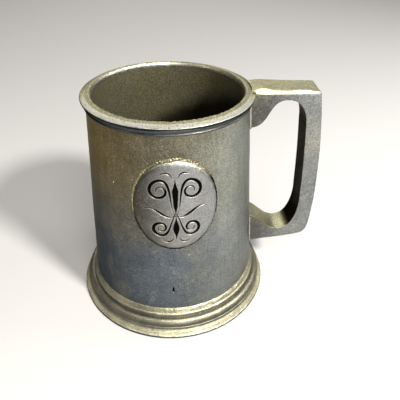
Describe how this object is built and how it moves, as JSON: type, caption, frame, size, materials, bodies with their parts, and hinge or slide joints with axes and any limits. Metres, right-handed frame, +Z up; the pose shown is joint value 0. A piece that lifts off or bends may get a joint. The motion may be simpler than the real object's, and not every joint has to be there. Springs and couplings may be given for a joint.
{
  "type": "tankard",
  "caption": "Lidless cast pewter tankard: tapered body, flat everted lip, stepped foot, squared flat-sided handle and a raised oval plaque on the front.",
  "frame": {"origin": "on the body's axis, in the plane that the foot stands on; the middle of the base disc is 0.6 mm above it", "axes": "+Z up through the mouth, +X towards the handle, the plaque faces -Y"},
  "size_m": [0.1349, 0.11, 0.1206],
  "materials": {
    "cast_pewter": "sand-cast pewter, grained, cool grey with an olive patina",
    "warm_pewter": "handled pewter, satin, warm patina on upward faces",
    "smooth_pewter": "smooth turned pewter, dark",
    "gilt_patina": "rough solder with a brown and gold patina",
    "turned_pewter": "turned pewter with fine tool rings",
    "solder": "bright satin solder",
    "handle_pewter": "sand-cast pewter, pale blue-grey, speckled",
    "plaque_pewter": "fine-grained pewter, lightly rubbed"
  },
  "bodies": {
    "root": {"barrel": "cast_pewter", "lip_ring": "warm_pewter", "collar_band": "smooth_pewter", "foot_ring": "warm_pewter", "foot_bead": "gilt_patina", "base_plate": "turned_pewter", "base_solder": "solder", "handle": "handle_pewter", "handle_solder_upper": "solder", "handle_solder_lower": "solder", "medallion": "plaque_pewter", "medallion_solder": "gilt_patina"}
  },
  "joints": []
}
